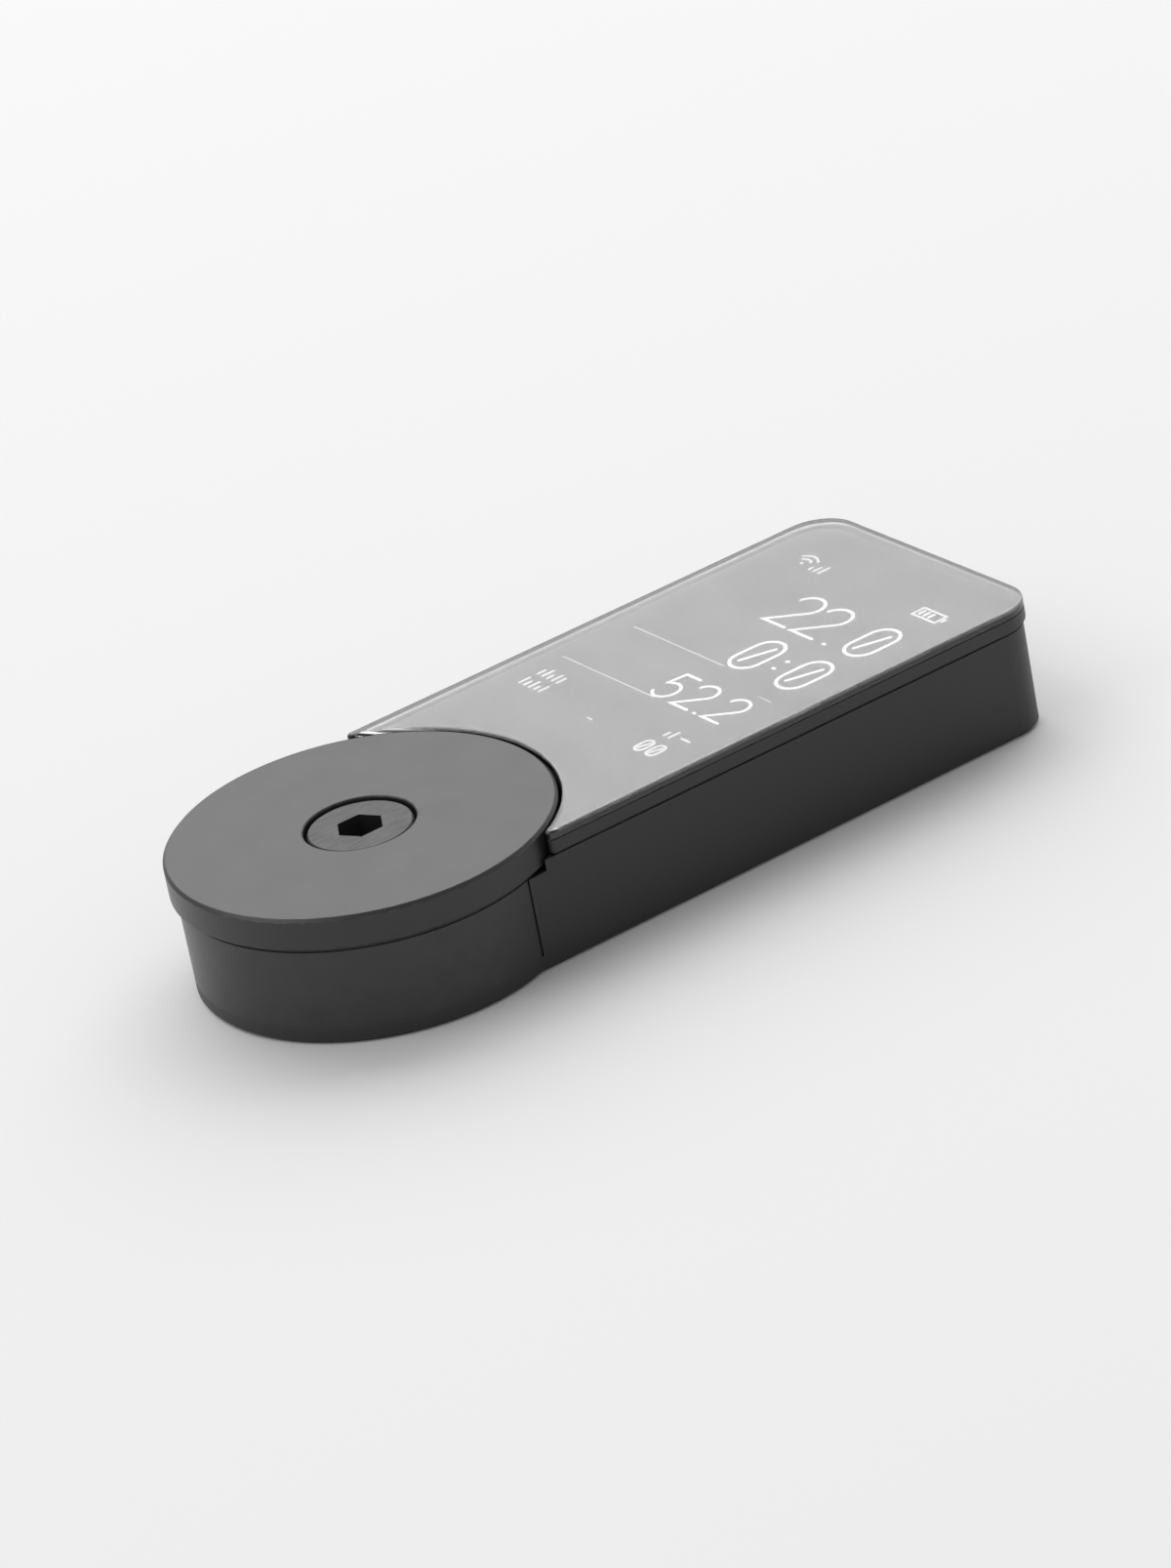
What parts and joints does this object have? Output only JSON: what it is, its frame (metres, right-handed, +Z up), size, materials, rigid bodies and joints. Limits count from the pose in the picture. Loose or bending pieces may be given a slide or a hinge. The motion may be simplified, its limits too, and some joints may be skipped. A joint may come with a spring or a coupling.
{
  "type": "cycling computer",
  "caption": "Slim stem-top cycling computer: a long flat display unit docked flush beside a round clamp cap, with a sprung-contact dock and a central clamp bolt.",
  "frame": {"origin": "under the middle of the assembly, on the underside of the dock", "axes": "+X along the stem from the clamp cap towards the handlebar, +Y to the rider's left, +Z up out of the glass"},
  "size_m": [0.0846, 0.0364, 0.013],
  "materials": {
    "cover_glass": "satin etched cover glass over a black display",
    "seal_rubber": "black silicone",
    "bezel_plastic": "fine-textured black moulding",
    "display_black": "black display cell",
    "light_guide": "clear acrylic",
    "led_white": "white lamps with yellow phosphor",
    "frame_metal": "stamped steel",
    "flex_amber": "polyimide film",
    "connector_plastic": "glass-filled black moulding",
    "case_plastic": "fine spark-eroded black moulding",
    "screw_steel": "zinc-plated steel",
    "contact_gold": "gold-plated brass",
    "magnet_nickel": "nickel plate",
    "board_green": "solder-masked glass-fibre board",
    "chip_black": "moulded chip packages",
    "ceramic": "unglazed ceramic",
    "membrane_white": "white vent membrane",
    "battery_silver": "foil pouch",
    "lead_red": "silicone-covered leads",
    "button_rubber": "soft black button",
    "dock_plastic": "glass-filled black nylon",
    "seat_aluminium": "turned, black anodised",
    "cap_black": "satin black anodised, fine-blasted",
    "bolt_black": "black oxide steel"
  },
  "bodies": {
    "dock": {"dock_tray": "dock_plastic", "cap_seat": "seat_aluminium", "seat_screws": "screw_steel", "cap_gasket": "seal_rubber", "dock_pad": "seal_rubber", "dock_board": "board_green", "contact_block": "connector_plastic", "dock_magnets": "magnet_nickel", "dock_connector": "connector_plastic", "connector_pins": "contact_gold", "pin_spring_1": "screw_steel", "pin_spring_2": "screw_steel", "pin_spring_3": "screw_steel", "pin_spring_4": "screw_steel"},
    "display_unit": {"cover_glass": "cover_glass", "glass_seal": "seal_rubber", "top_bezel": "bezel_plastic", "display_panel": "display_black", "light_guide": "light_guide", "backlight_leds": "led_white", "display_frame": "frame_metal", "display_flex": "flex_amber", "flex_connector": "connector_plastic", "rear_case": "case_plastic", "case_seal": "seal_rubber", "case_screws": "screw_steel", "contact_pads": "contact_gold", "head_magnets": "magnet_nickel", "usb_socket": "frame_metal", "main_board": "board_green", "board_screws": "screw_steel", "shield_can": "frame_metal", "processor_chip": "chip_black", "radio_module": "frame_metal", "gnss_antenna": "ceramic", "board_chips": "chip_black", "pressure_sensor": "chip_black", "vent_membrane": "membrane_white", "buzzer": "chip_black", "battery_cell": "battery_silver", "battery_foam": "seal_rubber", "battery_leads": "lead_red", "battery_connector": "connector_plastic", "button_seal": "seal_rubber", "button_switch": "frame_metal"},
    "power_button": {"power_button": "button_rubber"},
    "clamp_cap": {"clamp_cap": "cap_black", "cap_washer": "screw_steel", "bolt_retainer": "screw_steel"},
    "cap_bolt": {"cap_bolt": "bolt_black"},
    "contact_pin_1": {"contact_pin_1": "contact_gold"},
    "contact_pin_2": {"contact_pin_2": "contact_gold"},
    "contact_pin_3": {"contact_pin_3": "contact_gold"},
    "contact_pin_4": {"contact_pin_4": "contact_gold"}
  },
  "joints": [
    {"name": "unit_tilt", "type": "hinge", "parent": "dock", "child": "display_unit", "pos_m": [0.042, 0, 0.0127], "axis": [0, 1, 0], "range_deg": [0, 40]},
    {"name": "power_button_press", "type": "slide", "parent": "display_unit", "child": "power_button", "axis": [0, 0, 1], "range_m": [0, 0.0005], "stiffness_N_per_m": 2000, "springref_m": -0.0005},
    {"name": "cap_lift", "type": "slide", "parent": "dock", "child": "clamp_cap", "axis": [0, 0, 1], "range_m": [0, 0.0055]},
    {"name": "cap_bolt_turn", "type": "hinge", "parent": "clamp_cap", "child": "cap_bolt", "pos_m": [-0.0241, 0, 0.0106], "axis": [0, 0, 1], "range_deg": [0, 1981]},
    {"name": "contact_pin_1_press", "type": "slide", "parent": "dock", "child": "contact_pin_1", "axis": [0, 0, 1], "range_m": [-0.0004, 0], "stiffness_N_per_m": 300, "springref_m": 0.001, "deforming": ["pin_spring_1"]},
    {"name": "contact_pin_2_press", "type": "slide", "parent": "dock", "child": "contact_pin_2", "axis": [0, 0, 1], "range_m": [-0.0004, 0], "stiffness_N_per_m": 300, "springref_m": 0.001, "deforming": ["pin_spring_2"]},
    {"name": "contact_pin_3_press", "type": "slide", "parent": "dock", "child": "contact_pin_3", "axis": [0, 0, 1], "range_m": [-0.0004, 0], "stiffness_N_per_m": 300, "springref_m": 0.001, "deforming": ["pin_spring_3"]},
    {"name": "contact_pin_4_press", "type": "slide", "parent": "dock", "child": "contact_pin_4", "axis": [0, 0, 1], "range_m": [-0.0004, 0], "stiffness_N_per_m": 300, "springref_m": 0.001, "deforming": ["pin_spring_4"]}
  ],
  "couplings": [
    {"joint": "cap_bolt_turn", "follows": "cap_lift", "rad_per_m": 6283.2}
  ]
}
